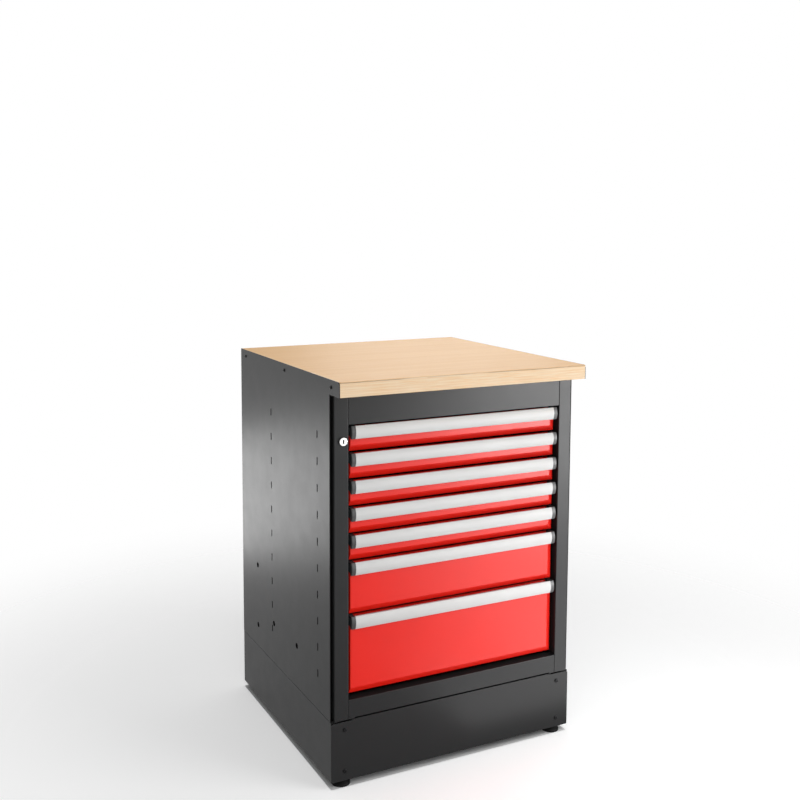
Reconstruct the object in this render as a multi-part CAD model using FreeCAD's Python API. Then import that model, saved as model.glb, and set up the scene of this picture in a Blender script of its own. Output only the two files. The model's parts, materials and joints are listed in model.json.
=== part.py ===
import FreeCAD, Part
import math
import os

# Drawer base cabinet: a welded sheet-steel carcass on a plinth with levelling feet, a beech worktop,
# seven drawers on telescopic slides, and a lock bar behind the left stile.
# Millimetres, +Z up, drawers open towards -Y, origin on the floor under the middle of the cabinet.

Vector = FreeCAD.Vector

# Overall sizes
CABINET_WIDTH = 729.0
BODY_DEPTH = 683.0
WORKTOP_OVERHANG = 55.0
WORKTOP_THICKNESS = 38.0
WORKTOP_EDGE_RADIUS = 1.5
FOOT_HEIGHT = 19.0
PLINTH_HEIGHT = 159.0

# Sheet metal
SHEET = 1.5
BEND_RADIUS = 2.0
BACK_SHEET = 1.0

# Side panels
PANEL_SETBACK = 7.0
PANEL_HEM = 25.0
PANEL_HEM_SETBACK = 12.0
PANEL_REAR_FLANGE = 28.0
PANEL_BOTTOM_FLANGE = 20.0
NOSE_CHAMFER = 7.0
HEM_RADIUS = 1.2

# Front frame
FRAME_INSET = 8.5
FRAME_PROUD = 2.0
FRAME_DEPTH = 30.0
STILE_WIDTH = 39.0
STILE_RADIUS = 2.0
STILE_EDGE_RADIUS = 2.0
RAIL_RADIUS = 1.2
TOP_RAIL_HEIGHT = 78.5
BOTTOM_RAIL_HEIGHT = 47.8
PLINTH_GAP = 5.4
STEP_DROP = 2.8
STEP_LENGTH = 65.0
FLOOR_UPSTAND = 40.0
TOP_PANEL_FLANGE = 25.0

# Plinth
PLINTH_FLANGE = 20.0
PLINTH_FRONT_FLANGE = 55.0
PLINTH_FRONT_RETURN = 32.0
PLINTH_FLANGE_DROP = 12.0
PLINTH_CORNER_RADIUS = 6.0
FOOT_BRACKET = 70.0
FOOT_BRACKET_SHEET = 3.0
NUT_ACROSS_FLATS = 17.0
NUT_HEIGHT = 8.0

# Levelling feet
FOOT_RADIUS = 24.0
FOOT_RIM = 7.0
FOOT_RIM_RADIUS = 2.0
FOOT_NECK_RADIUS = 10.0
FOOT_NECK_TOP = 17.0
STUD_RADIUS = 5.0
STUD_LENGTH = 45.0
STUD_CLEARANCE = 0.05
FOOT_FROM_SIDE = 38.0
FOOT_FROM_FRONT = 27.0
FOOT_FROM_REAR = 45.0

# Drawer stack
DRAWER_UNITS = (1, 1, 1, 1, 1, 2, 3)
DRAWER_PITCH = 70.0
DRAWER_GAP = 4.5
TOP_CLEARANCE = 4.1
BOTTOM_CLEARANCE = 11.6

# Drawer fronts
FRONT_SIDE_CLEARANCE = 8.0
FRONT_RECESS = 9.0
FRONT_DEPTH = 23.0
FRONT_SHEET = 1.2
FRONT_TOP_DROP = 4.0
BEVEL_WIDTH = 15.0
BEVEL_DEPTH = 7.5
CREASE_RADIUS = 2.5

# Handle strips and their end caps
HANDLE_HEIGHT = 33.0
HANDLE_CROWN = 4.7
HANDLE_WALL = 2.0
HANDLE_GUTTER = 24.0
HANDLE_LIP_DROP = 8.0
GRIP_DEPTH = 15.0
CAP_LENGTH = 12.0
CAP_SIDE_CLEARANCE = 7.0
CAP_RADIUS = 2.5

# Drawer boxes
BOX_REAR_CLEARANCE = 50.5
BOX_SHEET = 1.2
BOX_RIM = 8.0
BOX_BOTTOM_RISE = 9.5
BOX_TOP_DROP = 6.0

# Telescopic slides
SLIDE_HEIGHT = 37.0
SLIDE_SHEET = 1.5
SLIDE_PLAY = 0.3
SLIDE_DROP = 31.0
SLIDE_START = 2.0
SLIDE_PAST_BOX = 2.0
SLIDE_SIDE_CLEARANCE = 1.0
OUTER_RAIL_DEPTH = 12.0
MIDDLE_RAIL_DEPTH = 10.7
INNER_RAIL_DEPTH = 12.4
BRACKET_SHEET = 2.0
BRACKET_FOOT = 20.0
BRACKET_HEIGHT = 34.0
HOOK_HEIGHT = 18.0
HOOK_SHORT = 0.9

# Slots and holes in the side panels
SLOT_WIDTH = 6.0
SLOT_HEIGHT = 20.0
SLOT_FROM_FRONT = 87.0
SLOT_SPACING = 338.5
JOINING_HOLE_RADIUS = 8.0
JOINING_LINE_FROM_FRONT = 548.0
JOINING_LINE_HEIGHT = 66.5
JOINING_LINE_SPACING = 182.5
JOINING_ROW_FROM_FRONT = 236.0
JOINING_ROW_HEIGHT = 117.0
JOINING_ROW_SPACING = 177.0

# Lock
LOCK_FROM_OPENING = 15.5
LOCK_DROP = 40.4
LOCK_BEZEL_RADIUS = 10.5
LOCK_PROUD = 5.0
LOCK_RIM_RADIUS = 1.0
LOCK_BODY_RADIUS = 9.5
LOCK_BODY_LENGTH = 24.0
LOCK_HOLE_CLEARANCE = 0.1
BARREL_RADIUS = 7.0
BARREL_CLEARANCE = 0.05
BARREL_SET_IN = 0.4
KEY_SLOT_HEIGHT = 10.5
KEY_SLOT_WIDTH = 3.8
KEY_SLOT_DEPTH = 9.0
CAM_RADIUS = 11.0
CAM_THICKNESS = 3.0
CAM_GAP = 0.3
CAM_THROW = 8.485
CAM_PIN_RADIUS = 2.0
CAM_PIN_OVERRUN = 0.5
CAM_PIN_PLAY = 0.6

# Lock bar, its guides and the drawer lugs that it holds
BAR_WIDTH = 22.0
BAR_THICKNESS = 3.0
BAR_GAP = 2.5
BAR_PLAY = 0.3
BAR_BELOW = 60.0
BAR_ABOVE = 42.0
TOOTH_RISE = 31.0
TOOTH_HEIGHT = 6.0
TOOTH_FROM_BOX = 8.0
GUIDE_HEIGHT = 16.0
GUIDE_DRAWERS = (2, 5, 7)
GUIDE_BACK = 3.0
LUG_THICKNESS = 3.0
LUG_PLAY = 0.6
LUG_REACH = 14.0
LUG_RISE = 19.3
LUG_HEIGHT = 4.7

# Fasteners
PLINTH_SCREW_FROM_SIDE = 38.0
PLINTH_SCREW_FROM_EDGE = 24.5
PLINTH_SCREW_RADIUS = 3.0
PLINTH_SCREW_LENGTH = 12.0
PLINTH_HEAD_RADIUS = 5.5
PLINTH_HEAD_HEIGHT = 3.0
SIDE_SCREW_AHEAD = 2.0
SIDE_SCREW_FROM_REAR = 43.0
SIDE_SCREW_COUNT = 3
SIDE_SCREW_RADIUS = 2.5
SIDE_SCREW_LENGTH = 35.0
SIDE_HEAD_RADIUS = 4.5
SIDE_HEAD_HEIGHT = 2.2
BACK_SCREW_FROM_SIDE = 14.0
BACK_SCREW_FROM_END = 60.0
BACK_SCREW_COUNT = 4
BACK_SCREW_RADIUS = 2.0
BACK_SCREW_LENGTH = 10.0
BACK_HEAD_RADIUS = 4.0
BACK_HEAD_HEIGHT = 1.3
SCREW_CLEARANCE = 0.1
SOCKET_SHARE = 0.5
HEAD_ROUNDING = 0.5

# Overshoot of a cut past the face that it opens
CUT = 5.0
# Two coordinates closer than this are the same
SAME = 0.001

# Places across the width, from the middle plane
half = CABINET_WIDTH / 2
inside_half = half - SHEET
frame_half = half - FRAME_INSET
open_half = frame_half - STILE_WIDTH
front_half = open_half - FRONT_SIDE_CLEARANCE
cap_half = open_half - CAP_SIDE_CLEARANCE
handle_half = cap_half - CAP_LENGTH
outer_rail = open_half - SLIDE_SIDE_CLEARANCE
middle_rail = outer_rail - SLIDE_SHEET - SLIDE_PLAY
inner_rail = middle_rail - SLIDE_SHEET - SLIDE_PLAY
box_half = inner_rail - INNER_RAIL_DEPTH

# Places along the depth
y_front = -(WORKTOP_OVERHANG + BODY_DEPTH + BACK_HEAD_HEIGHT) / 2
y_plinth = y_front + WORKTOP_OVERHANG
y_rear = y_plinth + BODY_DEPTH
y_panel = y_plinth + PANEL_SETBACK
y_back = y_rear - SHEET - BACK_SHEET
y_frame = y_plinth - FRAME_PROUD
y_frame_back = y_frame + FRAME_DEPTH
y_face = y_frame + FRONT_RECESS
y_grip = y_face + GRIP_DEPTH
y_box = y_face + FRONT_DEPTH
y_box_end = y_back - BOX_REAR_CLEARANCE
y_slide = y_box + SLIDE_START
y_slide_end = y_box_end + SLIDE_PAST_BOX
y_bar = y_frame_back + BAR_GAP
y_lug = y_bar + BAR_THICKNESS + LUG_PLAY
slot_places = (y_plinth + SLOT_FROM_FRONT, y_plinth + SLOT_FROM_FRONT + SLOT_SPACING)

# Heights
opening_height = TOP_CLEARANCE + sum(DRAWER_UNITS) * DRAWER_PITCH - DRAWER_GAP + BOTTOM_CLEARANCE
z_plinth = FOOT_HEIGHT
z_plinth_top = z_plinth + PLINTH_HEIGHT
z_frame = z_plinth_top + PLINTH_GAP
z_open = z_frame + BOTTOM_RAIL_HEIGHT
z_open_top = z_open + opening_height
z_board = z_open_top + TOP_RAIL_HEIGHT
z_top = z_board + WORKTOP_THICKNESS
first_handle_top = z_open_top - TOP_CLEARANCE
side_screw_z = z_board + WORKTOP_THICKNESS / 2

# The lock's axis and the lock bar
lock_x = -open_half - LOCK_FROM_OPENING
lock_z = z_open_top - LOCK_DROP
bar_x = lock_x - CAM_THROW
y_cam = y_frame + LOCK_BODY_LENGTH + CAM_GAP


def block(x0, x1, y0, y1, z0, z1):
    """A box between two limits along each axis."""
    return Part.makeBox(x1 - x0, y1 - y0, z1 - z0, Vector(x0, y0, z0))


def prism(corners, push):
    """A polygon pushed along a vector."""
    points = [Vector(*corner) for corner in corners]
    wire = Part.makePolygon(points + points[:1])
    return Part.Face(wire).extrude(Vector(*push))


def across(outline, x0, x1):
    """A (y, z) outline pushed along X."""
    return prism([(x0, y, z) for y, z in outline], (x1 - x0, 0, 0))


def upright(outline, z0, z1):
    """An (x, y) outline pushed along Z."""
    return prism([(x, y, z0) for x, y in outline], (0, 0, z1 - z0))


def rod(radius, length, start, direction):
    return Part.makeCylinder(radius, length, Vector(*start), Vector(*direction))


def fused(first, *others):
    return first.fuse(list(others)).removeSplitter()


def mirrored(shape):
    """The same shape on the other side of the middle plane."""
    return shape.mirror(Vector(0, 0, 0), Vector(1, 0, 0))


def edges_along(shape, axis, **at):
    """The straight edges that run along an axis through the given coordinates."""
    chosen = []
    for edge in shape.Edges:
        if len(edge.Vertexes) != 2:
            continue
        start, end = edge.Vertexes[0].Point, edge.Vertexes[1].Point
        along = (end - start).normalize()
        if abs(abs(getattr(along, axis)) - 1) > SAME:
            continue
        if all(abs(getattr(start, name) - place) < SAME for name, place in at.items()):
            chosen.append(edge)
    return chosen


def rounded(shape, radius, axis, **at):
    return shape.makeFillet(radius, edges_along(shape, axis, **at))


def spread(first, last, count):
    """Evenly spaced places from the first to the last."""
    return [first + index * (last - first) / (count - 1) for index in range(count)]


def save(node, *shapes):
    """Writes one node, a single solid or a group of separate ones."""
    solids = [solid for shape in shapes for solid in shape.Solids]
    whole = solids[0] if len(solids) == 1 else Part.makeCompound(solids)
    whole.exportStep("parts/" + node + ".step")


# Carcass

def slot_heights():
    """Centre heights of the slots, one per drawer unit."""
    return [first_handle_top - SLIDE_DROP - unit * DRAWER_PITCH for unit in range(sum(DRAWER_UNITS))]


def side_screw_places():
    return spread(y_plinth - SIDE_SCREW_AHEAD, y_rear - SIDE_SCREW_FROM_REAR, SIDE_SCREW_COUNT)


def back_screw_heights():
    return spread(z_plinth_top + BACK_SCREW_FROM_END, z_board - BACK_SCREW_FROM_END, BACK_SCREW_COUNT)


def back_screw_hole(x, z):
    return rod(BACK_SCREW_RADIUS + SCREW_CLEARANCE, SHEET + 2 * CUT, (x, y_rear + CUT, z), (0, -1, 0))


def joining_holes():
    """Places (y, z) of the holes that join cabinets side by side or carry accessories."""
    line_y = y_plinth + JOINING_LINE_FROM_FRONT
    line_z = z_plinth_top + JOINING_LINE_HEIGHT
    row_y = y_plinth + JOINING_ROW_FROM_FRONT
    row_z = z_plinth_top + JOINING_ROW_HEIGHT
    line = [(line_y, line_z), (line_y, line_z + JOINING_LINE_SPACING)]
    row = [(row_y, row_z), (row_y + JOINING_ROW_SPACING, row_z)]
    return line + row


def side_panel():
    """Left panel: folded skin whose nose covers the end of the worktop."""
    outline = [
        (y_rear, z_plinth_top),
        (y_panel, z_plinth_top),
        (y_panel, z_board),
        (y_front, z_board),
        (y_front, z_top - NOSE_CHAMFER),
        (y_front + NOSE_CHAMFER, z_top),
        (y_rear, z_top),
    ]
    skin = across(outline, -half, -inside_half)
    y_hem = y_panel + PANEL_HEM_SETBACK
    hem = block(-inside_half, -inside_half + SHEET, y_hem, y_hem + PANEL_HEM, z_plinth_top, z_board)
    rear = block(-half, -half + PANEL_REAR_FLANGE, y_rear - SHEET, y_rear, z_plinth_top, z_board)
    bottom = block(
        -half, -half + PANEL_BOTTOM_FLANGE, y_panel, y_rear, z_plinth_top, z_plinth_top + SHEET
    )
    panel = fused(skin, hem, rear, bottom)
    panel = rounded(panel, BEND_RADIUS, "y", x=-half, z=z_plinth_top)
    panel = rounded(panel, HEM_RADIUS, "z", x=-half, y=y_panel)
    cuts = [
        rod(JOINING_HOLE_RADIUS, SHEET + 2 * CUT, (-half - CUT, y, z), (1, 0, 0)) for y, z in joining_holes()
    ]
    hole_radius = SIDE_SCREW_RADIUS + SCREW_CLEARANCE
    for y in side_screw_places():
        cuts.append(rod(hole_radius, SHEET + 2 * CUT, (-half - CUT, y, side_screw_z), (1, 0, 0)))
    for y in slot_places:
        for z in slot_heights():
            cuts.append(slot_cut(y, z))
    cuts += [back_screw_hole(-half + BACK_SCREW_FROM_SIDE, z) for z in back_screw_heights()]
    return panel.cut(cuts)


def slot_cut(y, z):
    """One upright slot for a slide hook."""
    width, height = SLOT_WIDTH / 2, SLOT_HEIGHT / 2
    return block(-half - CUT, -inside_half + CUT, y - width, y + width, z - height, z + height)


def stile():
    """Left stile: a rolled channel with a lip that meets the side panel's hem."""
    low = z_frame - STEP_DROP
    outside = block(-frame_half, -open_half, y_frame, y_frame_back, low, z_board)
    outside = rounded(outside, STILE_RADIUS, "z", x=-frame_half, y=y_frame)
    outside = rounded(outside, STILE_EDGE_RADIUS, "z", x=-open_half, y=y_frame)
    inside = block(
        -frame_half + SHEET, -open_half - SHEET, y_frame + SHEET, y_frame_back + CUT, low - CUT, z_board + CUT
    )
    inside = rounded(inside, STILE_RADIUS - SHEET, "z", x=-frame_half + SHEET, y=y_frame + SHEET)
    lip = block(
        -inside_half + SHEET, -frame_half + SHEET / 2, y_frame_back - SHEET, y_frame_back, low, z_board
    )
    return fused(outside.cut(inside), lip)


def lock_stile():
    """The left stile with the hole for the lock."""
    radius = LOCK_BODY_RADIUS + LOCK_HOLE_CLEARANCE
    return stile().cut(rod(radius, SHEET + 2 * CUT, (lock_x, y_frame - CUT, lock_z), (0, 1, 0)))


def rail(low, high):
    """A channel between the stiles, open to the rear."""
    outside = block(-open_half, open_half, y_frame, y_frame_back, low, high)
    inside = block(
        -open_half - CUT, open_half + CUT, y_frame + SHEET, y_frame_back + CUT, low + SHEET, high - SHEET
    )
    return outside.cut(inside)


def eased(shape, z):
    """A rail with its face rounded along the opening and towards the stiles."""
    edges = edges_along(shape, "x", y=y_frame, z=z)
    for x in (-open_half, open_half):
        edges += edges_along(shape, "z", x=x, y=y_frame)
    return shape.makeFillet(RAIL_RADIUS, edges)


def top_rail():
    return eased(rail(z_open_top, z_board), z_open_top)


def bottom_rail():
    """The lower rail, whose face steps down near the stiles."""
    inner = half - STEP_LENGTH
    steps = [
        block(x0, x1, y_frame, y_frame + SHEET, z_frame - STEP_DROP, z_frame + SHEET)
        for x0, x1 in ((-open_half, -inner), (inner, open_half))
    ]
    return eased(fused(rail(z_frame, z_open), *steps), z_open)


def bar_guide(z):
    """A slotted block behind the left stile that the lock bar runs in."""
    low, high = z - GUIDE_HEIGHT / 2, z + GUIDE_HEIGHT / 2
    way_front, way_back = y_bar - BAR_PLAY, y_bar + BAR_THICKNESS + BAR_PLAY
    reach = BAR_WIDTH / 2 + BAR_PLAY
    body = block(-frame_half, -open_half, y_frame_back, way_back + GUIDE_BACK, low, high)
    way = block(bar_x - reach, bar_x + reach, way_front, way_back, low - CUT, high + CUT)
    return body.cut(way)


def front_frame():
    guides = [bar_guide(slide_height(number)) for number in GUIDE_DRAWERS]
    return [lock_stile(), mirrored(stile()), top_rail(), bottom_rail()] + guides


def floor_panel():
    """Sheet on the side panels' bottom flanges, turned up behind the bottom rail."""
    width = inside_half - SHEET
    low = z_plinth_top + SHEET
    sheet = block(-width, width, y_frame_back, y_back, low, low + SHEET)
    upstand = block(-frame_half, frame_half, y_frame_back, y_frame_back + SHEET, low, low + FLOOR_UPSTAND)
    return fused(sheet, upstand)


def top_panel():
    """Sheet that the worktop lies on, turned down along both sides."""
    width = inside_half - SHEET
    sheet = block(-width, width, y_frame_back, y_back, z_board - SHEET, z_board)
    flange = block(-width, -width + SHEET, y_frame_back, y_back, z_board - TOP_PANEL_FLANGE, z_board)
    return fused(sheet, flange, mirrored(flange))


def back_panel():
    """Flat sheet screwed inside the side panels' rear flanges."""
    sheet = block(-inside_half, inside_half, y_back, y_rear - SHEET, z_plinth_top + SHEET, z_board)
    x = half - BACK_SCREW_FROM_SIDE
    cuts = [back_screw_hole(side * x, z) for side in (-1, 1) for z in back_screw_heights()]
    return sheet.cut(cuts)


def worktop():
    """Beech board between the noses of the side panels."""
    board = block(-inside_half, inside_half, y_front, y_rear, z_board, z_top)
    for y in (y_front, y_rear):
        for z in (z_board, z_top):
            board = rounded(board, WORKTOP_EDGE_RADIUS, "x", y=y, z=z)
    depth = SIDE_SCREW_LENGTH - SHEET + SCREW_CLEARANCE
    cuts = []
    for y in side_screw_places():
        for side in (-1, 1):
            start = (side * inside_half, y, side_screw_z)
            cuts.append(rod(SIDE_SCREW_RADIUS + SCREW_CLEARANCE, depth, start, (-side, 0, 0)))
    return board.cut(cuts)


# Plinth and feet

def plinth_screw_places():
    x = half - PLINTH_SCREW_FROM_SIDE
    heights = (z_plinth + PLINTH_SCREW_FROM_EDGE, z_plinth_top - PLINTH_SCREW_FROM_EDGE)
    return [(side * x, z) for side in (-1, 1) for z in heights]


def plinth_screw_holes():
    radius = PLINTH_SCREW_RADIUS + SCREW_CLEARANCE
    return [rod(radius, 2 * CUT, (x, y_plinth - CUT, z), (0, 1, 0)) for x, z in plinth_screw_places()]


def plinth_front():
    """Front sheet with stepped, rounded top ends, turned back along its top and bottom."""
    inner = half - STEP_LENGTH
    face = block(-half, half, y_plinth, y_plinth + SHEET, z_plinth, z_plinth_top - STEP_DROP)
    for x in (-half, half):
        face = rounded(face, PLINTH_CORNER_RADIUS, "y", x=x, z=z_plinth_top - STEP_DROP)
    middle = block(-inner, inner, y_plinth, y_plinth + SHEET, z_plinth, z_plinth_top)
    back = y_plinth + PLINTH_FRONT_RETURN
    reach = half - PLINTH_FRONT_FLANGE - SHEET
    top = block(-reach, reach, y_plinth, back, z_plinth_top - SHEET, z_plinth_top)
    bottom = block(-reach, reach, y_plinth, back, z_plinth, z_plinth + SHEET)
    sheet = fused(face, middle, top, bottom)
    return sheet.cut(plinth_screw_holes())


def plinth_surround():
    """Sides and rear of the plinth in one folded sheet, with flanges at the front, top and bottom."""
    start = y_plinth + SHEET
    outside = block(-half, half, start, y_rear, z_plinth, z_plinth_top)
    for x in (-half, half):
        for y in (start, y_rear):
            outside = rounded(outside, BEND_RADIUS, "z", x=x, y=y)
    hollow = block(
        -inside_half, inside_half, start + SHEET, y_rear - SHEET, z_plinth + SHEET, z_plinth_top - SHEET
    )
    inner = half - PLINTH_FLANGE
    mouth = block(-inner, inner, start + SHEET, y_rear - PLINTH_FLANGE, 0, z_plinth_top + CUT)
    reach = half - PLINTH_FRONT_FLANGE
    front = block(-reach, reach, start - CUT, start + SHEET, 0, z_plinth_top + CUT)
    low = z_plinth_top - PLINTH_FLANGE_DROP
    notch = block(-inside_half, inside_half, start - CUT, start + SHEET, low, z_plinth_top + CUT)
    return outside.cut([hollow, mouth, front, notch] + plinth_screw_holes())


def foot_places():
    x = half - FOOT_FROM_SIDE
    front, rear = y_plinth + FOOT_FROM_FRONT, y_rear - FOOT_FROM_REAR
    return {
        "front_left": (-x, front),
        "front_right": (x, front),
        "rear_left": (-x, rear),
        "rear_right": (x, rear),
    }


def foot_bracket(x, y):
    """Corner plate with a welded nut for one foot."""
    low = z_plinth + SHEET
    top = low + FOOT_BRACKET_SHEET
    x_wall = math.copysign(inside_half, x)
    y_wall = y_plinth + 2 * SHEET if y < 0 else y_rear - SHEET
    x_end = x_wall - math.copysign(FOOT_BRACKET, x)
    y_end = y_wall - math.copysign(FOOT_BRACKET, y)
    plate = block(min(x_wall, x_end), max(x_wall, x_end), min(y_wall, y_end), max(y_wall, y_end), low, top)
    corner = NUT_ACROSS_FLATS / math.sqrt(3)
    angles = [math.radians(60 * index) for index in range(6)]
    hexagon = [(x + corner * math.cos(angle), y + corner * math.sin(angle)) for angle in angles]
    nut = upright(hexagon, top, top + NUT_HEIGHT)
    bore = rod(STUD_RADIUS + STUD_CLEARANCE, PLINTH_HEIGHT, (x, y, 0), (0, 0, 1))
    return fused(plate, nut).cut(bore)


def foot(x, y):
    """Levelling foot: moulded disc on a stud."""
    disc = rod(FOOT_RADIUS, FOOT_RIM, (x, y, 0), (0, 0, 1))
    rim = [edge for edge in disc.Edges if edge.BoundBox.ZMin > FOOT_RIM - SAME]
    disc = disc.makeFillet(FOOT_RIM_RADIUS, rim)
    neck = Part.makeCone(
        FOOT_RADIUS - FOOT_RIM_RADIUS, FOOT_NECK_RADIUS, FOOT_NECK_TOP - FOOT_RIM, Vector(x, y, FOOT_RIM)
    )
    stud = rod(STUD_RADIUS, STUD_LENGTH, (x, y, FOOT_NECK_TOP), (0, 0, 1))
    return fused(disc, neck, stud)


# Drawers

def handle_top(number):
    """Height of the top of a drawer's handle; drawers are numbered from the top."""
    return first_handle_top - sum(DRAWER_UNITS[: number - 1]) * DRAWER_PITCH


def front_bottom(number):
    return handle_top(number) - DRAWER_UNITS[number - 1] * DRAWER_PITCH + DRAWER_GAP


def slide_height(number):
    return handle_top(number) - SLIDE_DROP


def ledge_height(number):
    """The step in the drawer front that carries the handle."""
    return handle_top(number) - HANDLE_GUTTER - HANDLE_WALL


def front_block(number, inset):
    """Drawer front bevelled below and at its right end, drawn in by the inset on all sides but the rear."""
    face = y_face + inset
    grip = y_grip + inset
    rear = y_box + (CUT if inset else 0)
    low = front_bottom(number) + inset
    ledge = ledge_height(number) - inset
    high = handle_top(number) - FRONT_TOP_DROP - inset
    width = front_half - inset
    side = across(
        [
            (rear, low),
            (face + BEVEL_DEPTH, low),
            (face, low + BEVEL_WIDTH),
            (face, ledge),
            (grip, ledge),
            (grip, high),
            (rear, high),
        ],
        -width,
        width,
    )
    plan = upright(
        [
            (-width, rear),
            (-width, face),
            (width - BEVEL_WIDTH, face),
            (width, face + BEVEL_DEPTH),
            (width, rear),
        ],
        low,
        high,
    )
    return side.common(plan)


def drawer_front(number):
    """Pressed pan, open to the rear."""
    outside = front_block(number, 0)
    crease = edges_along(outside, "x", y=y_face, z=front_bottom(number) + BEVEL_WIDTH)
    for x in (-front_half, front_half - BEVEL_WIDTH):
        crease += edges_along(outside, "z", x=x, y=y_face)
    outside = outside.makeFillet(CREASE_RADIUS, crease)
    return outside.cut(front_block(number, FRONT_SHEET))


def grip_face(number, x, end_points):
    """Section of the handle at x: the crowned front, then the corners from its top round to its bottom."""
    top = handle_top(number)
    bottom = top - HANDLE_HEIGHT
    low_front = Vector(x, y_frame, bottom)
    high_front = Vector(x, y_frame, top)
    crown = Vector(x, y_frame - HANDLE_CROWN, (top + bottom) / 2)
    edges = [Part.Arc(low_front, crown, high_front).toShape()]
    corners = [high_front] + [Vector(x, y, z) for y, z in end_points]
    corners += [Vector(x, y_grip, ledge_height(number)), Vector(x, y_face, ledge_height(number))]
    corners += [Vector(x, y_frame + HANDLE_WALL, bottom), low_front]
    edges += [Part.LineSegment(a, b).toShape() for a, b in zip(corners, corners[1:])]
    return Part.Face(Part.Wire(edges))


def handle(number):
    """Extruded strip with a finger gutter behind its crowned front."""
    top = handle_top(number)
    gutter = top - HANDLE_GUTTER
    front = y_frame + HANDLE_WALL
    lip = top - HANDLE_LIP_DROP
    corners = [
        (front, top),
        (front, gutter),
        (y_grip - HANDLE_WALL, gutter),
        (y_grip - HANDLE_WALL, lip),
        (y_grip, lip),
    ]
    return grip_face(number, -handle_half, corners).extrude(Vector(2 * handle_half, 0, 0))


def handle_caps(number):
    """Moulded end caps that close the ends of the handle."""
    end = grip_face(number, -handle_half, [(y_grip, handle_top(number))]).extrude(Vector(-CAP_LENGTH, 0, 0))
    outer = []
    for edge in end.Edges:
        at_end = edge.BoundBox.XMax < -cap_half + SAME
        in_front = edge.BoundBox.YMin < y_frame - SAME
        if at_end and in_front:
            outer.append(edge)
    cap = end.makeFillet(CAP_RADIUS, outer)
    return [cap, mirrored(cap)]


def drawer_box(number):
    """Folded tray with an inward rim, and a lug on the left for the lock bar."""
    low = front_bottom(number) + BOX_BOTTOM_RISE
    high = handle_top(number) - BOX_TOP_DROP
    end = y_box_end
    wall = box_half - BOX_SHEET
    rim = wall - BOX_RIM
    tray = block(-box_half, box_half, y_box, end, low, high)
    hollow = block(-wall, wall, y_box + BOX_SHEET, end - BOX_SHEET, low + BOX_SHEET, high - BOX_SHEET)
    rim_y = BOX_SHEET + BOX_RIM
    mouth = block(-rim, rim, y_box + rim_y, end - rim_y, high - BOX_SHEET - CUT, high + CUT)
    lug_low = slide_height(number) + LUG_RISE
    lug = block(
        -box_half - LUG_REACH, -box_half, y_lug, y_lug + LUG_THICKNESS, lug_low, lug_low + LUG_HEIGHT
    )
    return fused(tray.cut([hollow, mouth]), lug)


# Slides

def channel(back, depth, height, z):
    """Left-hand rail: its web stands at the far side from the drawer and its flanges reach inwards."""
    outside = block(-back, -back + depth, y_slide, y_slide_end, z - height / 2, z + height / 2)
    inner = height / 2 - SLIDE_SHEET
    inside = block(
        -back + SLIDE_SHEET, -back + depth + CUT, y_slide - CUT, y_slide_end + CUT, z - inner, z + inner
    )
    return outside.cut(inside)


def middle_height():
    return SLIDE_HEIGHT - 2 * (SLIDE_SHEET + SLIDE_PLAY)


def inner_height():
    return middle_height() - 2 * (SLIDE_SHEET + SLIDE_PLAY)


def slide_middle(number):
    rail_left = channel(middle_rail, MIDDLE_RAIL_DEPTH, middle_height(), slide_height(number))
    return [rail_left, mirrored(rail_left)]


def slide_inner(number):
    """Rail on the drawer box, with its flanges towards the middle rail."""
    z = slide_height(number)
    reach = inner_height() / 2
    outside = block(-inner_rail, -box_half, y_slide, y_slide_end, z - reach, z + reach)
    hollow = reach - SLIDE_SHEET
    inside = block(
        -inner_rail - CUT, -box_half - SLIDE_SHEET, y_slide - CUT, y_slide_end + CUT, z - hollow, z + hollow
    )
    rail_left = outside.cut(inside)
    return [rail_left, mirrored(rail_left)]


def hook_bracket(y, z):
    """Angle between an outer rail and the side panel, with a hook in the panel's slot."""
    tall, hook = BRACKET_HEIGHT / 2, HOOK_HEIGHT / 2
    thick = BRACKET_SHEET / 2
    plate = block(-inside_half, -outer_rail, y - thick, y + thick, z - tall, z + tall)
    weld = block(-outer_rail - BRACKET_SHEET, -outer_rail, y - thick, y + BRACKET_FOOT, z - tall, z + tall)
    tab = block(-half + HOOK_SHORT, -inside_half, y - thick, y + thick, z - hook, z + hook)
    return fused(plate, weld, tab)


def slide_outer_rails():
    rails = []
    for number in range(1, len(DRAWER_UNITS) + 1):
        z = slide_height(number)
        plain = channel(outer_rail, OUTER_RAIL_DEPTH, SLIDE_HEIGHT, z)
        rail_left = fused(plain, *[hook_bracket(y, z) for y in slot_places])
        rails += [rail_left, mirrored(rail_left)]
    return rails


# Lock

def lock_housing():
    bezel = rod(LOCK_BEZEL_RADIUS, LOCK_PROUD, (lock_x, y_frame, lock_z), (0, -1, 0))
    rim = [edge for edge in bezel.Edges if edge.BoundBox.YMax < y_frame - SAME]
    bezel = bezel.makeFillet(LOCK_RIM_RADIUS, rim)
    body = rod(LOCK_BODY_RADIUS, LOCK_BODY_LENGTH, (lock_x, y_frame, lock_z), (0, 1, 0))
    bore = rod(
        BARREL_RADIUS + BARREL_CLEARANCE,
        LOCK_PROUD + LOCK_BODY_LENGTH + 2 * CUT,
        (lock_x, y_frame - LOCK_PROUD - CUT, lock_z),
        (0, 1, 0),
    )
    return fused(bezel, body).cut(bore)


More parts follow.
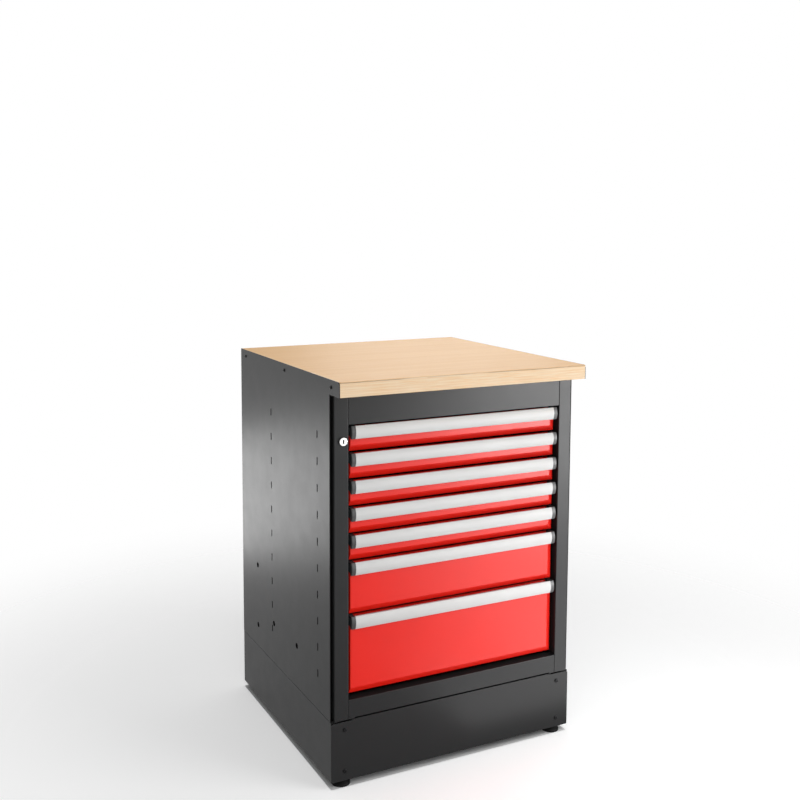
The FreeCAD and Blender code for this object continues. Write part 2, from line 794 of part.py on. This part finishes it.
def lock_barrel():
    """Barrel with a key slot, and a cam whose pin drives the lock bar."""
    front = y_frame - LOCK_PROUD + BARREL_SET_IN
    barrel = rod(BARREL_RADIUS, y_cam - front, (lock_x, front, lock_z), (0, 1, 0))
    cam = rod(CAM_RADIUS, CAM_THICKNESS, (lock_x, y_cam, lock_z), (0, 1, 0))
    offset = CAM_THROW / math.sqrt(2)
    pin_length = y_bar + BAR_THICKNESS + CAM_PIN_OVERRUN - y_cam
    pin = rod(CAM_PIN_RADIUS, pin_length, (lock_x - offset, y_cam, lock_z + offset), (0, 1, 0))
    key_slot = block(
        lock_x - KEY_SLOT_WIDTH / 2,
        lock_x + KEY_SLOT_WIDTH / 2,
        front - CUT,
        front + KEY_SLOT_DEPTH,
        lock_z - KEY_SLOT_HEIGHT / 2,
        lock_z + KEY_SLOT_HEIGHT / 2,
    )
    return fused(barrel, cam, pin).cut(key_slot)


def lock_bar():
    """Upright bar with one tooth per drawer and a slot for the cam's pin."""
    count = len(DRAWER_UNITS)
    low = slide_height(count) - BAR_BELOW
    high = slide_height(1) + BAR_ABOVE
    x0, x1 = bar_x - BAR_WIDTH / 2, bar_x + BAR_WIDTH / 2
    bar = block(x0, x1, y_bar, y_bar + BAR_THICKNESS, low, high)
    tip = -box_half - TOOTH_FROM_BOX
    teeth = []
    for number in range(1, count + 1):
        z = slide_height(number) + TOOTH_RISE
        teeth.append(block(x1, tip, y_bar, y_bar + BAR_THICKNESS, z, z + TOOTH_HEIGHT))
    offset = CAM_THROW / math.sqrt(2)
    room = CAM_PIN_RADIUS + CAM_PIN_PLAY
    z_pin = lock_z + offset
    pin_slot = block(
        lock_x - CAM_THROW - room,
        lock_x - offset + room,
        y_bar - CUT,
        y_bar + BAR_THICKNESS + CUT,
        z_pin - room,
        z_pin + room,
    )
    return fused(bar, *teeth).cut(pin_slot)


# Fasteners

def screw(seat, direction, radius, length, head_radius, head_height):
    """Round-head socket screw: the seat lies under its head, and the shank runs along the direction."""
    way = Vector(*direction)
    back = way * -1
    head = Part.makeCylinder(head_radius, head_height, seat, back)
    top = seat + back * head_height
    rim = [edge for edge in head.Edges if edge.CenterOfMass.distanceToPoint(top) < SAME]
    head = head.makeFillet(HEAD_ROUNDING * head_height, rim)
    socket = Part.makeCylinder(head_radius * SOCKET_SHARE, head_height / 2, top, way)
    shank = Part.makeCylinder(radius, length, seat, way)
    return fused(head.cut(socket), shank)


def screws():
    plinth_size = (PLINTH_SCREW_RADIUS, PLINTH_SCREW_LENGTH, PLINTH_HEAD_RADIUS, PLINTH_HEAD_HEIGHT)
    side_size = (SIDE_SCREW_RADIUS, SIDE_SCREW_LENGTH, SIDE_HEAD_RADIUS, SIDE_HEAD_HEIGHT)
    back_size = (BACK_SCREW_RADIUS, BACK_SCREW_LENGTH, BACK_HEAD_RADIUS, BACK_HEAD_HEIGHT)
    every = [screw(Vector(x, y_plinth, z), (0, 1, 0), *plinth_size) for x, z in plinth_screw_places()]
    for side in (-1, 1):
        for y in side_screw_places():
            every.append(screw(Vector(side * half, y, side_screw_z), (-side, 0, 0), *side_size))
        for z in back_screw_heights():
            x = side * (half - BACK_SCREW_FROM_SIDE)
            every.append(screw(Vector(x, y_rear, z), (0, -1, 0), *back_size))
    return every


# Every node

os.makedirs("parts", exist_ok=True)

left_panel = side_panel()
save("side_panel_left", left_panel)
save("side_panel_right", mirrored(left_panel))
save("front_frame", *front_frame())
save("floor_panel", floor_panel())
save("top_panel", top_panel())
save("back_panel", back_panel())
save("worktop", worktop())
save("plinth_front", plinth_front())
save("plinth_surround", plinth_surround(), *[foot_bracket(x, y) for x, y in foot_places().values()])
for place, (foot_x, foot_y) in foot_places().items():
    save("foot_" + place, foot(foot_x, foot_y))
for drawer in range(1, len(DRAWER_UNITS) + 1):
    name = "drawer_" + str(drawer)
    save(name + "_box", drawer_box(drawer))
    save(name + "_front", drawer_front(drawer))
    save(name + "_handle", handle(drawer))
    save(name + "_handle_caps", *handle_caps(drawer))
    save(name + "_slide_inner", *slide_inner(drawer))
    save(name + "_slide_middle", *slide_middle(drawer))
save("slide_outer_rails", *slide_outer_rails())
save("lock_housing", lock_housing())
save("lock_barrel", lock_barrel())
save("lock_bar", lock_bar())
save("screws", *screws())
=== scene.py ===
import json
import math

import bpy
from mathutils import Matrix, Vector


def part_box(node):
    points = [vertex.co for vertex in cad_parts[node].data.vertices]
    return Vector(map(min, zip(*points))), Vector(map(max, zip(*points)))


# Looks of the drawer base cabinet: finishes of its pieces, a studio and the camera.
# Metres, drawers open towards -Y.

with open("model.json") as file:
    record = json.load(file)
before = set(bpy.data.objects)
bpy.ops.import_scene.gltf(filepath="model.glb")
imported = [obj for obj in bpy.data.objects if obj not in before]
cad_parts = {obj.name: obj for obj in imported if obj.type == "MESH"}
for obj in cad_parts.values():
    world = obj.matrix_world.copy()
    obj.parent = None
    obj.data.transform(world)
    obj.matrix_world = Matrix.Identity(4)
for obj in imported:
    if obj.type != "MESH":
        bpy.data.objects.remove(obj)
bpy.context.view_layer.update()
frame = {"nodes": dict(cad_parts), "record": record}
scene = bpy.context.scene
scene.view_settings.view_transform = "Standard"

MILLIMETRE = 0.001

# Camera, fitted to the photograph's perspective of the cabinet's edges
CAMERA_PLACE = Vector((-1.384, -2.6924, 1.4593))
CAMERA_YAW = math.radians(26.971)
CAMERA_PITCH = math.radians(-5.593)
CAMERA_ROLL = math.radians(0.248)
CAMERA_LENS = 47.888
CAMERA_SENSOR = 36.0
CAMERA_SHIFT = -0.1

# Colours, linear
ANTHRACITE = (0.0145, 0.0147, 0.0152)
ANTHRACITE_WORN = (0.075, 0.076, 0.078)
BOX_GREY = (0.05, 0.052, 0.055)
SIGNAL_RED = (0.88, 0.012, 0.004)
SIGNAL_RED_WORN = (0.88, 0.09, 0.06)
ALUMINIUM = (0.58, 0.58, 0.575)
ALUMINIUM_EDGE = (0.75, 0.75, 0.75)
BLACK_PLASTIC = (0.026, 0.026, 0.027)
BLACK_RUBBER = (0.005, 0.005, 0.005)
# Black of the screws' steel, and also the painted shade inside the lock
BLACK_STEEL_AND_LOCK_SHADE = (0.008, 0.008, 0.0085)
BLACK_STEEL_RUBBED = (0.09, 0.09, 0.092)
ZINC = (0.62, 0.63, 0.65)
ZINC_DULL = (0.52, 0.54, 0.58)
ZINC_EDGE = (0.75, 0.75, 0.76)
# Painted shade of the side panel's slots, laid on the hook tips
SLOT_PAINTED_SHADE = (0.006, 0.006, 0.006)
NICKEL = (0.72, 0.71, 0.69)
NICKEL_MARKED = (0.5, 0.49, 0.47)
BEECH_PALE = (0.95, 0.76, 0.55)
BEECH_LIGHT = (0.90, 0.56, 0.26)
BEECH_MIDDLE = (0.82, 0.47, 0.20)
BEECH_DARK = (0.58, 0.33, 0.15)
BEECH_SEAM = (0.30, 0.15, 0.06)
FLOOR_WHITE = (0.85, 0.85, 0.85)
WHITE = (1.0, 1.0, 1.0)

# Rounded edges: samples of the shading, and the cosines between which an edge counts as near
EDGE_SAMPLES = 6
EDGE_FAR, EDGE_NEAR = 0.995, 0.86
SMOOTH_ANGLE = math.radians(28)

# Studio: brightness of the surroundings on matt surfaces, and the floor's own brightness and fade
AMBIENT = 0.25
FLOOR_RADIUS = 2.4
FLOOR_SIDES = 96
FLOOR_LIFT = 0.4
FLOOR_FADE_START = 0.7
FLOOR_FADE_END = 2.2

# Sockets of the colour mix node
MIX_SHARE, MIX_FIRST, MIX_SECOND, MIX_RESULT = 0, 6, 7, 2


def shaded(colour, share):
    """A colour made darker or lighter."""
    return tuple(share * part for part in colour)


class Finish:
    """A procedural material and the few node calls that build it."""

    def __init__(self, name, roughness, metallic=0.0, specular=0.5):
        self.material = bpy.data.materials.new(name)
        self.material.use_nodes = True
        tree = self.material.node_tree
        self.nodes, self.links = tree.nodes, tree.links
        self.shader = self.nodes["Principled BSDF"]
        self.shader.inputs["Roughness"].default_value = roughness
        self.shader.inputs["Metallic"].default_value = metallic
        self.shader.inputs["Specular IOR Level"].default_value = specular
        self.place = self.node("ShaderNodeTexCoord").outputs["Object"]
        self.normal = None

    def node(self, kind, inputs=None, **settings):
        """A new node; an input is a plain value or another node's output."""
        made = self.nodes.new(kind)
        for name, value in settings.items():
            setattr(made, name, value)
        for name, value in (inputs or {}).items():
            self.put(made.inputs[name], value)
        return made

    def put(self, socket, value):
        if isinstance(value, bpy.types.NodeSocket):
            self.links.new(value, socket)
        elif isinstance(value, tuple) and len(value) == 3 and socket.type == "RGBA":
            socket.default_value = (*value, 1.0)
        else:
            socket.default_value = value

    def stretched(self, scale):
        """The object's coordinates times a scale per axis."""
        return self.node("ShaderNodeMapping", {"Vector": self.place, "Scale": scale}).outputs["Vector"]

    def noise(self, scale, detail=2.0, roughness=0.5, place=None):
        inputs = {"Vector": place or self.place, "Scale": scale, "Detail": detail, "Roughness": roughness}
        return self.node("ShaderNodeTexNoise", inputs).outputs["Fac"]

    def math(self, operation, first, second=0.0):
        made = self.node("ShaderNodeMath", operation=operation)
        self.put(made.inputs[0], first)
        self.put(made.inputs[1], second)
        return made.outputs[0]

    def span(self, value, low, high, to_low=0.0, to_high=1.0):
        """A value's range spread smoothly over another range."""
        inputs = {"Value": value, "From Min": low, "From Max": high, "To Min": to_low, "To Max": to_high}
        return self.node("ShaderNodeMapRange", inputs, interpolation_type="SMOOTHSTEP").outputs["Result"]

    def mix(self, share, first, second):
        made = self.node("ShaderNodeMix", data_type="RGBA")
        self.put(made.inputs[MIX_SHARE], share)
        self.put(made.inputs[MIX_FIRST], first)
        self.put(made.inputs[MIX_SECOND], second)
        return made.outputs[MIX_RESULT]

    def part(self, vector, axis):
        return self.node("ShaderNodeSeparateXYZ", {"Vector": vector}).outputs[axis]

    def round_edges(self, radius):
        """Rounds the sharp edges in the shading, and returns how near to an edge a point lies, 0 to 1."""
        self.normal = self.node("ShaderNodeBevel", {"Radius": radius}, samples=EDGE_SAMPLES).outputs["Normal"]
        flat = self.node("ShaderNodeNewGeometry").outputs["Normal"]
        turned = self.node("ShaderNodeVectorMath", operation="DOT_PRODUCT")
        self.put(turned.inputs[0], self.normal)
        self.put(turned.inputs[1], flat)
        return self.span(turned.outputs["Value"], EDGE_FAR, EDGE_NEAR)

    def bump(self, height, strength, distance):
        inputs = {"Height": height, "Strength": strength, "Distance": distance}
        if self.normal:
            inputs["Normal"] = self.normal
        self.normal = self.node("ShaderNodeBump", inputs).outputs["Normal"]

    def finish(self, colour, roughness=None):
        self.put(self.shader.inputs["Base Color"], colour)
        if roughness:
            self.put(self.shader.inputs["Roughness"], roughness)
        if self.normal:
            self.put(self.shader.inputs["Normal"], self.normal)
        return self.material


def powder_coat(name, colour, worn, gloss, specular):
    """Sprayed paint on sheet steel: orange peel, slightly wavy sheet, lighter rubbed edges."""
    paint = Finish(name, gloss, specular=specular)
    edge = paint.round_edges(0.7 * MILLIMETRE)
    patches = paint.noise(5.0, 3.0)
    body = paint.mix(paint.span(patches, 0.3, 0.7), shaded(colour, 0.95), colour)
    rubbed = paint.math("MULTIPLY", edge, paint.span(paint.noise(60.0, 4.0, 0.7), 0.45, 0.75))
    body = paint.mix(paint.math("MULTIPLY", rubbed, 0.5), body, worn)
    sheen = paint.span(paint.noise(17.0, 5.0, 0.65), 0.25, 0.75, gloss - 0.01, gloss + 0.03)
    paint.bump(paint.noise(4.0, 1.0), 0.05, 1.2 * MILLIMETRE)
    paint.bump(paint.noise(650.0, 2.0), 0.10, 0.12 * MILLIMETRE)
    return paint.finish(body, sheen)


def drawn_aluminium():
    """Satin anodised extrusion with fine draw lines along its length."""
    metal = Finish("satin_aluminium", 0.6, metallic=0.1, specular=0.3)
    edge = metal.round_edges(0.6 * MILLIMETRE)
    lines = metal.noise(1.0, 5.0, 0.7, metal.stretched((6.0, 2600.0, 2600.0)))
    clouds = metal.noise(9.0, 3.0)
    tone = metal.mix(metal.span(lines, 0.3, 0.7), shaded(ALUMINIUM, 0.93), ALUMINIUM)
    tone = metal.mix(metal.math("MULTIPLY", edge, 0.5), tone, ALUMINIUM_EDGE)
    cloudy = metal.span(clouds, 0.3, 0.7, -0.02, 0.03)
    sheen = metal.math("ADD", metal.span(lines, 0.2, 0.8, 0.55, 0.65), cloudy)
    metal.bump(lines, 0.08, 0.05 * MILLIMETRE)
    return metal.finish(tone, sheen)


def moulded_plastic(name, colour, gloss, specular, grain):
    """Moulded plastic with an etched grain and rubbed edges."""
    plastic = Finish(name, gloss, specular=specular)
    edge = plastic.round_edges(0.7 * MILLIMETRE)
    rubbed = plastic.math("MULTIPLY", edge, plastic.span(plastic.noise(140.0, 4.0), 0.4, 0.7))
    tone = plastic.mix(rubbed, colour, shaded(colour, 3.0))
    sheen = plastic.span(plastic.noise(40.0, 5.0, 0.7), 0.3, 0.7, gloss - 0.06, gloss + 0.08)
    plastic.bump(plastic.noise(grain, 3.0, 0.6), 0.25, 0.08 * MILLIMETRE)
    return plastic.finish(tone, sheen)


def beech_plywood():
    """Oiled beech veneer with rays and pores, and the layers of the ply on its edges."""
    PLY, FACE_VENEER = 3.45 * MILLIMETRE, 1.6 * MILLIMETRE
    wood = Finish("beech_plywood", 0.5, specular=0.05)
    wood.round_edges(1.0 * MILLIMETRE)
    drift = wood.noise(2.2, 3.0, 0.55, wood.stretched((0.6, 7.0, 7.0)))
    bands = wood.noise(1.0, 4.0, 0.6, wood.stretched((1.6, 46.0, 46.0)))
    fibres = wood.noise(1.0, 6.0, 0.7, wood.stretched((14.0, 620.0, 620.0)))
    rays = wood.noise(1.0, 2.0, 0.5, wood.stretched((190.0, 2100.0, 2100.0)))
    veneer = wood.mix(wood.span(bands, 0.3, 0.75, 0.0, 0.6), BEECH_LIGHT, BEECH_MIDDLE)
    veneer = wood.mix(wood.span(drift, 0.35, 0.75, 0.0, 0.35), veneer, BEECH_LIGHT)
    veneer = wood.mix(wood.span(fibres, 0.45, 0.8, 0.0, 0.45), veneer, BEECH_MIDDLE)
    veneer = wood.mix(wood.span(rays, 0.62, 0.74, 0.0, 0.55), veneer, BEECH_DARK)
    waver = wood.math("MULTIPLY", wood.noise(9.0, 2.0), 0.6 * MILLIMETRE)
    height = wood.math("ADD", wood.part(wood.place, "Z"), waver)
    layer = wood.math("FRACT", wood.math("DIVIDE", height, 2 * PLY))
    crosswise = wood.span(layer, 0.47, 0.53)
    pores = wood.noise(1.0, 4.0, 0.7, wood.stretched((900.0, 900.0, 1500.0)))
    end_grain = wood.mix(wood.span(pores, 0.35, 0.7), BEECH_MIDDLE, BEECH_DARK)
    along = wood.mix(wood.span(fibres, 0.4, 0.75), BEECH_PALE, BEECH_LIGHT)
    layers = wood.mix(wood.math("MULTIPLY", crosswise, 0.12), along, end_grain)
    streaks = wood.noise(1.0, 5.0, 0.65, wood.stretched((7.0, 160.0, 240.0)))
    layers = wood.mix(wood.span(streaks, 0.5, 0.8, 0.0, 0.6), layers, BEECH_MIDDLE)
    within_ply = wood.math("FRACT", wood.math("DIVIDE", height, PLY))
    from_middle = wood.math("ABSOLUTE", wood.math("SUBTRACT", within_ply, 0.5))
    glue = wood.span(from_middle, 0.42, 0.5, 0.0, 0.1)
    layers = wood.mix(glue, layers, BEECH_DARK)
    under_top = wood.math("SUBTRACT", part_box("worktop")[1].z - FACE_VENEER, height)
    from_seam = wood.math("ABSOLUTE", under_top)
    seam = wood.span(from_seam, 0.6 * MILLIMETRE, 1.4 * MILLIMETRE, 0.75, 0.0)
    broken_seam = wood.math("MULTIPLY", seam, wood.span(streaks, 0.35, 0.6))
    layers = wood.mix(broken_seam, layers, BEECH_SEAM)
    flat = wood.node("ShaderNodeNewGeometry").outputs["Normal"]
    facing = wood.math("ABSOLUTE", wood.part(flat, "Z"))
    tone = wood.mix(wood.span(facing, 0.55, 0.75), layers, veneer)
    sheen = wood.span(fibres, 0.3, 0.7, 0.44, 0.58)
    wood.bump(fibres, 0.18, 0.12 * MILLIMETRE)
    wood.bump(rays, 0.10, 0.06 * MILLIMETRE)
    return wood.finish(tone, sheen)


def zinc_plate():
    """Bright zinc on rolled steel: faint crystals and roll lines, and painted shade: black, matt hook tips
    where they sit in the side panel's slots.
    """
    metal = Finish("zinc_plate", 0.36, metallic=1.0, specular=0.0)
    edge = metal.round_edges(0.5 * MILLIMETRE)
    crystals = metal.node("ShaderNodeTexVoronoi", {"Vector": metal.place, "Scale": 140.0}).outputs["Color"]
    lines = metal.noise(1.0, 4.0, 0.6, metal.stretched((900.0, 7.0, 900.0)))
    tone = metal.mix(metal.span(metal.part(crystals, "X"), 0.0, 1.0, 0.0, 0.5), ZINC, ZINC_DULL)
    tone = metal.mix(metal.math("MULTIPLY", edge, 0.5), tone, ZINC_EDGE)
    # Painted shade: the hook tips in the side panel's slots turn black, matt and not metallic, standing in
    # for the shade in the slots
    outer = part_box("slide_outer_rails")[1].x
    reach = metal.math("ABSOLUTE", metal.part(metal.place, "X"))
    slot_shade_tip = metal.span(reach, outer - 3 * MILLIMETRE, outer - 2 * MILLIMETRE)
    tone = metal.mix(slot_shade_tip, tone, SLOT_PAINTED_SHADE)
    metal.put(metal.shader.inputs["Metallic"], metal.math("SUBTRACT", 1.0, slot_shade_tip))
    sheen = metal.math("MAXIMUM", metal.span(lines, 0.25, 0.75, 0.30, 0.44), slot_shade_tip)
    metal.bump(lines, 0.10, 0.05 * MILLIMETRE)
    return metal.finish(tone, sheen)


def turned_nickel():
    """Nickel-plated lock face with faint turning rings, and painted shade: black behind the face and in the
    key slot.
    """
    RING_PITCH = 0.45 * MILLIMETRE
    low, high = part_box("lock_housing")
    middle = (low + high) / 2
    metal = Finish("turned_nickel", 0.24, metallic=1.0)
    metal.round_edges(0.5 * MILLIMETRE)
    inputs = {"Vector": metal.place, "Location": tuple(-middle)}
    centred = metal.node("ShaderNodeMapping", inputs).outputs["Vector"]
    inputs = {0: centred, 1: (1.0, 0.0, 1.0)}
    flat = metal.node("ShaderNodeVectorMath", inputs, operation="MULTIPLY").outputs[0]
    radius = metal.node("ShaderNodeVectorMath", {0: flat}, operation="LENGTH").outputs["Value"]
    rings = metal.math("SINE", metal.math("MULTIPLY", radius, 2 * math.pi / RING_PITCH))
    marks = metal.noise(420.0, 5.0, 0.7)
    tone = metal.mix(metal.span(marks, 0.5, 0.8, 0.0, 0.5), NICKEL, NICKEL_MARKED)
    # Painted shade: deeper than the face, in the key slot and on the bezel's sides, the colour turns black
    depth = metal.math("SUBTRACT", metal.part(metal.place, "Y"), low.y)
    tone = metal.mix(metal.span(depth, 0.7 * MILLIMETRE, 0.9 * MILLIMETRE), tone, BLACK_STEEL_AND_LOCK_SHADE)
    sheen = metal.span(marks, 0.3, 0.7, 0.2, 0.34)
    metal.bump(rings, 0.12, 0.02 * MILLIMETRE)
    return metal.finish(tone, sheen)


def black_oxide():
    """Blackened steel screws, bright where tools have rubbed the edges."""
    steel = Finish("black_oxide", 0.42, metallic=0.5, specular=0.2)
    edge = steel.round_edges(0.4 * MILLIMETRE)
    rubbed = steel.math("MULTIPLY", edge, steel.span(steel.noise(500.0, 3.0), 0.4, 0.6))
    tone = steel.mix(rubbed, BLACK_STEEL_AND_LOCK_SHADE, BLACK_STEEL_RUBBED)
    sheen = steel.span(steel.noise(300.0, 4.0), 0.3, 0.7, 0.30, 0.46)
    steel.bump(steel.noise(1500.0, 2.0), 0.15, 0.04 * MILLIMETRE)
    return steel.finish(tone, sheen)


FINISHES = {
    "carcass": powder_coat("anthracite_coat", ANTHRACITE, ANTHRACITE_WORN, 0.36, 0.18),
    "drawer_red": powder_coat("signal_red_coat", SIGNAL_RED, SIGNAL_RED_WORN, 0.34, 0.24),
    "drawer_box": powder_coat("box_coat", BOX_GREY, ANTHRACITE_WORN, 0.42, 0.25),
    "handle_aluminium": drawn_aluminium(),
    "cap_plastic": moulded_plastic("cap_plastic", BLACK_PLASTIC, 0.42, 0.4, 1500.0),
    "beech_board": beech_plywood(),
    "zinc_slide": zinc_plate(),
    "lock_chrome": turned_nickel(),
    "foot_plastic": moulded_plastic("foot_plastic", BLACK_RUBBER, 0.6, 0.1, 1100.0),
    "black_screw": black_oxide(),
}
# The lock bar and its teeth take the screws' black finish, painted shade that keeps the gaps of the fronts
# dark
GAP_SHADE_FINISH = {"lock_bar": "black_screw"}

for part in frame["record"]["subparts"]:
    piece = frame["nodes"][part["node"]]
    slot = GAP_SHADE_FINISH.get(part["node"], part["material_slot"])
    piece.data.materials.clear()
    piece.data.materials.append(FINISHES[slot])
    piece.data.shade_smooth()
    piece.data.set_sharp_from_angle(angle=SMOOTH_ANGLE)


# Studio

def studio_floor():
    """A pale disc that fades into the white surroundings."""
    angles = [2 * math.pi * step / FLOOR_SIDES for step in range(FLOOR_SIDES)]
    corners = [(FLOOR_RADIUS * math.cos(angle), FLOOR_RADIUS * math.sin(angle), 0.0) for angle in angles]
    mesh = bpy.data.meshes.new("studio_floor")
    mesh.from_pydata(corners, [], [list(range(FLOOR_SIDES))])
    floor = bpy.data.objects.new("studio_floor", mesh)
    scene.collection.objects.link(floor)
    pale = Finish("pale_floor", 0.9, specular=0.0)
    distance = pale.node("ShaderNodeVectorMath", {0: pale.place}, operation="LENGTH").outputs["Value"]
    grain = pale.mix(pale.noise(260.0, 2.0), shaded(FLOOR_WHITE, 0.98), FLOOR_WHITE)
    seen = pale.node("ShaderNodeLightPath")
    eye = seen.outputs["Is Camera Ray"]
    for ray in ("Is Glossy Ray", "Is Transmission Ray"):
        eye = pale.math("MAXIMUM", eye, seen.outputs[ray])
    pale.put(pale.shader.inputs["Emission Color"], WHITE)
    # Under the plinth the floor has no brightness of its own
    low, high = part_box("plinth_surround")
    aside = pale.math("GREATER_THAN", pale.math("ABSOLUTE", pale.part(pale.place, "X")), high.x)
    before = pale.math("LESS_THAN", pale.part(pale.place, "Y"), low.y)
    behind = pale.math("GREATER_THAN", pale.part(pale.place, "Y"), high.y)
    clear = pale.math("MAXIMUM", aside, pale.math("MAXIMUM", before, behind))
    lift = pale.math("MULTIPLY", clear, FLOOR_LIFT)
    pale.put(pale.shader.inputs["Emission Strength"], pale.math("MULTIPLY", eye, lift))
    pale.put(pale.shader.inputs["Alpha"], pale.span(distance, FLOOR_FADE_START, FLOOR_FADE_END, 1.0, 0.0))
    mesh.materials.append(pale.finish(grain))


def surroundings(ambient):
    """White for the eye and for reflections, and a softer even light on matt surfaces."""
    world = bpy.data.worlds.new("studio")
    world.use_nodes = True
    nodes, links = world.node_tree.nodes, world.node_tree.links
    back = nodes["Background"]
    back.inputs["Color"].default_value = (*WHITE, 1.0)
    path = nodes.new("ShaderNodeLightPath")
    seen = path.outputs["Is Camera Ray"]
    for ray in ("Is Glossy Ray", "Is Transmission Ray"):
        either = nodes.new("ShaderNodeMath")
        either.operation = "MAXIMUM"
        links.new(seen, either.inputs[0])
        links.new(path.outputs[ray], either.inputs[1])
        seen = either.outputs[0]
    strength = nodes.new("ShaderNodeMapRange")
    links.new(seen, strength.inputs["Value"])
    strength.inputs["To Min"].default_value = ambient
    strength.inputs["To Max"].default_value = 1.0
    links.new(strength.outputs["Result"], back.inputs["Strength"])
    scene.world = world


def softbox(name, place, aim, width, height, radiance, spread=180.0, matt=True):
    """A flat lamp that the camera doesn't see. One that isn't matt only shows in glossy surfaces."""
    lamp = bpy.data.lights.new(name, "AREA")
    lamp.shape = "RECTANGLE"
    lamp.size, lamp.size_y = width, height
    lamp.spread = math.radians(spread)
    lamp.energy = radiance * math.pi * width * height
    stand = bpy.data.objects.new(name, lamp)
    stand.location = place
    stand.rotation_euler = (Vector(aim) - Vector(place)).to_track_quat("-Z", "Y").to_euler()
    stand.visible_camera = False
    stand.visible_diffuse = matt
    scene.collection.objects.link(stand)


def camera():
    data = bpy.data.cameras.new("camera")
    data.lens, data.sensor_width = CAMERA_LENS, CAMERA_SENSOR
    data.shift_y = CAMERA_SHIFT
    level = math.cos(CAMERA_PITCH)
    ahead = Vector((math.sin(CAMERA_YAW) * level, math.cos(CAMERA_YAW) * level, math.sin(CAMERA_PITCH)))
    right = Vector((math.cos(CAMERA_YAW), -math.sin(CAMERA_YAW), 0.0))
    up = right.cross(ahead)
    turned_right = right * math.cos(CAMERA_ROLL) + up * math.sin(CAMERA_ROLL)
    turned_up = up * math.cos(CAMERA_ROLL) - right * math.sin(CAMERA_ROLL)
    turn = Matrix((turned_right, turned_up, -ahead)).transposed()
    eye = bpy.data.objects.new("camera", data)
    eye.matrix_world = Matrix.Translation(CAMERA_PLACE) @ turn.to_4x4()
    scene.collection.objects.link(eye)
    scene.camera = eye


studio_floor()
surroundings(AMBIENT)
softbox("overhead", (0.3, 0.6, 3.4), (0.0, 0.0, 1.0), width=2.6, height=2.6, radiance=1.05)
softbox("key_right", (2.4, -3.0, 2.6), (0.0, -0.2, 0.5), width=2.2, height=2.2, radiance=3.4)
softbox("key_left", (-1.7, -2.7, 3.2), (0.0, -0.3, 0.6), width=1.8, height=1.8, radiance=1.3)
softbox("front_low", (-0.8, -3.2, 0.7), (0.0, -0.3, 0.6), width=1.6, height=1.0, radiance=3.8)
softbox(
    "high_rear_right", (1.6, 2.6, 2.4), (0.2, -0.2, 1.05), width=1.6, height=1.6, radiance=5.5, matt=False
)
softbox(
    "low_rear_left", (-0.9, 1.35, 0.32), (-0.3645, 0.0, 0.6), width=0.9, height=0.5, radiance=3.5, matt=False
)
softbox("low_right", (1.4, -1.75, 0.75), (0.3, -0.3, 0.6), width=0.8, height=1.2, radiance=21.0, matt=False)
softbox(
    "floor_right", (0.75, -1.15, 1.3), (0.6, -1.0, 0.0), width=0.7, height=0.7, radiance=1.8, spread=90.0
)
softbox("floor_card", (1.0, -1.2, 0.02), (1.0, -1.2, 1.0), width=1.0, height=1.4, radiance=3.3)
softbox(
    "floor_card_near", (0.4, -0.6, 0.02), (0.4, -0.6, 1.0), width=0.6, height=0.36, radiance=3.0, matt=False
)
camera()
